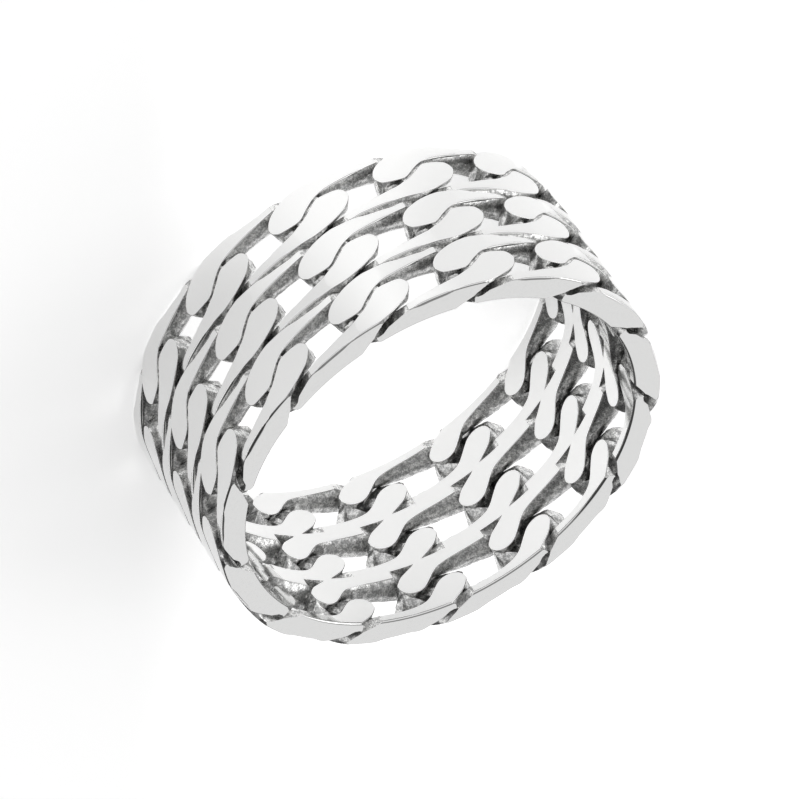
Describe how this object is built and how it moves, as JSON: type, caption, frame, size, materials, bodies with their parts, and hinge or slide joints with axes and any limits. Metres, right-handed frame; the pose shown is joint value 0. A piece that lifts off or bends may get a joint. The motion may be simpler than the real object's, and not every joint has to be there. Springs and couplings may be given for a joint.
{
  "type": "finger ring",
  "caption": "Rigid finger ring: side-by-side rows of curb chain soldered into a pierced band and ground smooth on both faces and both rims.",
  "frame": {"origin": "middle of the far rim, on the ring's axis, where the ring lies on its side", "axes": "+Z along the ring's axis, from the rim it lies on to the upper rim; X and Y across the finger hole"},
  "size_m": [0.0198, 0.0198, 0.0082],
  "materials": {
    "silver": "polished flats, as-cast walls"
  },
  "bodies": {
    "root": {"curb_band": "silver"}
  },
  "joints": []
}
